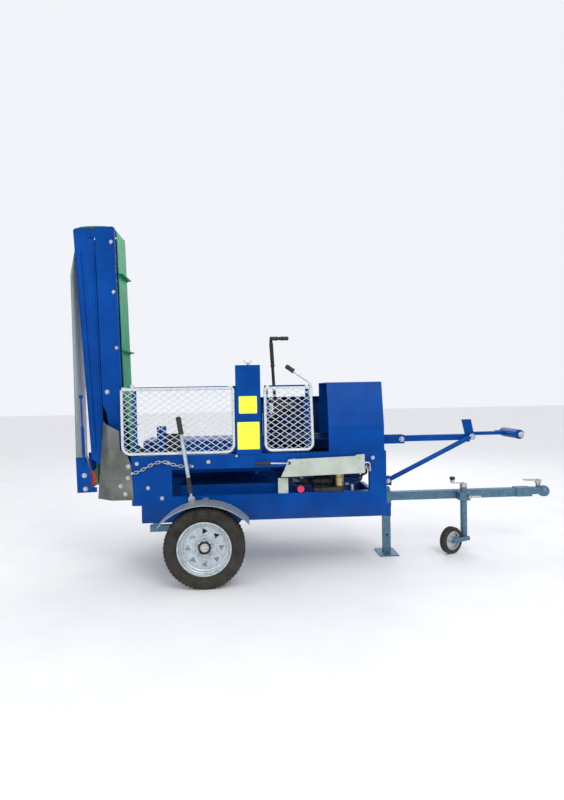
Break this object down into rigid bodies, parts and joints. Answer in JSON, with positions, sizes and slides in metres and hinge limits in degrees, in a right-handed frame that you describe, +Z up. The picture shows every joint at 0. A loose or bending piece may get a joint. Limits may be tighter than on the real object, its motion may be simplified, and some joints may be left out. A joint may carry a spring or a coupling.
{
  "type": "firewood processor",
  "caption": "Towable firewood processor: bar saw, hydraulic log splitter, mesh guards and a folding belt conveyor on a single-axle trailer frame.",
  "frame": {"origin": "centre of the overall box, on the ground", "axes": "+X forward along the drawbar, +Z up, +Y to the far side; the operator stands on the -Y side"},
  "size_m": [3.9462, 1.66, 2.667],
  "materials": {
    "blue_paint": "gloss enamel, slightly worn",
    "galvanised": "hot-dip galvanised, matte spangle",
    "white_tube": "galvanised tube, light",
    "grey_cover": "satin sheet",
    "dark_steel": "dark machined and cast steel",
    "chrome_rod": "hard chrome",
    "tyre_rubber": "worn rubber",
    "belt_pvc": "green PVC belt, pale fabric back",
    "black_grip": "moulded grip",
    "red_cap": "moulded cap",
    "red_drum": "painted drum",
    "steel": "zinc-plated"
  },
  "bodies": {
    "frame": {"main_frame": "blue_paint", "oil_tank": "blue_paint", "axle_beam": "galvanised", "fenders": "galvanised", "drawbar": "galvanised", "coupling_head": "galvanised", "jockey_clamp": "galvanised", "splitting_trough": "blue_paint", "cylinder_barrel": "dark_steel", "stands_and_pins": "blue_paint", "control_post": "blue_paint", "infeed_hood": "blue_paint", "infeed_bed": "blue_paint", "infeed_brackets": "blue_paint", "valve_cover": "grey_cover", "valve_block": "dark_steel", "pump_gearbox": "dark_steel", "hydraulic_hoses": "black_grip", "chute": "galvanised", "safety_chain": "steel", "bolts_and_pins": "steel"},
    "near_wheel": {"near_wheel_rim": "galvanised", "near_wheel_tyre": "tyre_rubber", "near_wheel_hub": "steel"},
    "far_wheel": {"far_wheel_rim": "galvanised", "far_wheel_tyre": "tyre_rubber", "far_wheel_hub": "steel"},
    "filler_cap": {"filler_cap": "red_cap"},
    "support_leg": {"support_leg": "galvanised"},
    "coupling_handle": {"coupling_handle": "steel"},
    "clamp_handle": {"jockey_clamp_handle": "steel"},
    "jockey_tube": {"jockey_tube": "galvanised"},
    "jockey_fork": {"jockey_fork": "galvanised"},
    "jockey_wheel": {"jockey_rim": "galvanised", "jockey_tyre": "tyre_rubber"},
    "jockey_crank": {"jockey_crank": "steel"},
    "ram": {"push_ram": "chrome_rod"},
    "wedge": {"splitting_wedge": "dark_steel"},
    "wedge_lever": {"wedge_lever": "grey_cover"},
    "saw": {"saw_arm": "dark_steel", "saw_bar_and_chain": "steel"},
    "left_guard": {"left_guard_frame": "white_tube", "left_guard_mesh": "white_tube"},
    "right_guard": {"right_guard_frame": "white_tube", "right_guard_mesh": "white_tube", "right_guard_grip": "black_grip"},
    "wing_nut": {"wing_nut": "steel"},
    "feed_roller": {"feed_roller": "dark_steel"},
    "infeed_arm": {"infeed_arm": "blue_paint"},
    "infeed_roller": {"infeed_roller": "blue_paint"},
    "infeed_strut": {"infeed_strut": "blue_paint"},
    "valve_lever": {"valve_lever": "steel"},
    "lower_conveyor": {"lower_conveyor": "blue_paint", "lower_belt": "belt_pvc", "fold_belt": "belt_pvc"},
    "upper_conveyor": {"upper_conveyor": "blue_paint", "upper_belt": "belt_pvc"},
    "tail_drum": {"tail_drum": "red_drum"},
    "drive_drum": {"drive_drum": "red_drum"}
  },
  "joints": [
    {"name": "near_wheel_spin", "type": "hinge", "parent": "frame", "child": "near_wheel", "pos_m": [-0.972, -0.722, 0.288], "axis": [0, 1, 0], "continuous": true},
    {"name": "far_wheel_spin", "type": "hinge", "parent": "frame", "child": "far_wheel", "pos_m": [-0.972, 0.722, 0.288], "axis": [0, 1, 0], "continuous": true},
    {"name": "filler_cap_turn", "type": "hinge", "parent": "frame", "child": "filler_cap", "pos_m": [-0.256, -0.48, 0.637], "axis": [0, -1, 0], "range_deg": [0, 360]},
    {"name": "support_leg_lift", "type": "slide", "parent": "frame", "child": "support_leg", "axis": [0, 0, 1], "range_m": [0, 0.18]},
    {"name": "coupling_handle_lift", "type": "hinge", "parent": "frame", "child": "coupling_handle", "pos_m": [1.875, 0, 0.538], "axis": [0, 1, 0], "range_deg": [0, 60]},
    {"name": "clamp_handle_turn", "type": "hinge", "parent": "frame", "child": "clamp_handle", "pos_m": [1.203, -0.14, 0.467], "axis": [0, 1, 0], "range_deg": [0, 350]},
    {"name": "jockey_tube_lift", "type": "slide", "parent": "frame", "child": "jockey_tube", "axis": [0, 0, 1], "range_m": [0, 0.2]},
    {"name": "jockey_swivel", "type": "hinge", "parent": "jockey_tube", "child": "jockey_fork", "pos_m": [1.173, -0.084, 0.2], "axis": [0, 0, 1], "continuous": true},
    {"name": "jockey_wheel_spin", "type": "hinge", "parent": "jockey_fork", "child": "jockey_wheel", "pos_m": [1.03489, -0.15437, 0.111], "axis": [0.454, -0.891, 0], "continuous": true},
    {"name": "jockey_crank_turn", "type": "hinge", "parent": "jockey_tube", "child": "jockey_crank", "pos_m": [1.173, -0.084, 0.56], "axis": [0, 0, 1], "continuous": true},
    {"name": "ram_stroke", "type": "slide", "parent": "frame", "child": "ram", "axis": [-1, 0, 0], "range_m": [0, 0.45]},
    {"name": "wedge_lever_swing", "type": "hinge", "parent": "frame", "child": "wedge_lever", "pos_m": [-1.074, -0.56, 0.6], "axis": [0, 1, 0], "range_deg": [0, 20]},
    {"name": "wedge_lift", "type": "slide", "parent": "frame", "child": "wedge", "axis": [0, 0, 1], "range_m": [0, 0.061]},
    {"name": "saw_swing", "type": "hinge", "parent": "frame", "child": "saw", "pos_m": [-0.455, 0.13, 1.15], "axis": [1, 0, 0], "range_deg": [0, 25]},
    {"name": "left_guard_lift", "type": "slide", "parent": "frame", "child": "left_guard", "axis": [0, 0, 1], "range_m": [0, 0.06]},
    {"name": "right_guard_swing", "type": "hinge", "parent": "frame", "child": "right_guard", "pos_m": [-0.35, -0.45, 1.418], "axis": [1, 0, 0], "range_deg": [-100, 0]},
    {"name": "wing_nut_turn", "type": "hinge", "parent": "frame", "child": "wing_nut", "pos_m": [-0.641, -0.486, 1.6], "axis": [0, 0, 1], "continuous": true},
    {"name": "feed_roller_spin", "type": "hinge", "parent": "frame", "child": "feed_roller", "pos_m": [0.14, -0.2, 1.33], "axis": [0, 1, 0], "continuous": true},
    {"name": "infeed_arm_fold", "type": "hinge", "parent": "frame", "child": "infeed_arm", "pos_m": [0.602, -0.2, 0.975], "axis": [0, 1, 0], "range_deg": [-95, 0]},
    {"name": "infeed_roller_spin", "type": "hinge", "parent": "infeed_arm", "child": "infeed_roller", "pos_m": [1.54, -0.2, 1.002], "axis": [0, 1, 0], "continuous": true},
    {"name": "infeed_strut_drop", "type": "hinge", "parent": "frame", "child": "infeed_strut", "pos_m": [0.472, -0.257, 0.645], "axis": [0, 1, 0], "range_deg": [0, 45]},
    {"name": "valve_lever_swing", "type": "hinge", "parent": "frame", "child": "valve_lever", "pos_m": [-0.345, -0.44, 0.845], "axis": [0, 1, 0], "range_deg": [-15, 15]},
    {"name": "conveyor_lean", "type": "hinge", "parent": "frame", "child": "lower_conveyor", "pos_m": [-1.59, -0.2, 0.75], "axis": [0, 1, 0], "range_deg": [-50, 0]},
    {"name": "conveyor_fold", "type": "hinge", "parent": "lower_conveyor", "child": "upper_conveyor", "pos_m": [-1.80493, -0.2, 2.5956], "axis": [0, 1, 0], "range_deg": [0, 180], "deforming": ["fold_belt"]},
    {"name": "tail_drum_spin", "type": "hinge", "parent": "lower_conveyor", "child": "tail_drum", "pos_m": [-1.59, -0.2, 0.75], "axis": [0, 1, 0], "continuous": true},
    {"name": "drive_drum_spin", "type": "hinge", "parent": "upper_conveyor", "child": "drive_drum", "pos_m": [-1.86459, -0.2, 0.72876], "axis": [0, 1, 0], "continuous": true}
  ],
  "couplings": [
    {"joint": "wedge_lift", "follows": "wedge_lever_swing", "m_per_rad": 0.17}
  ]
}
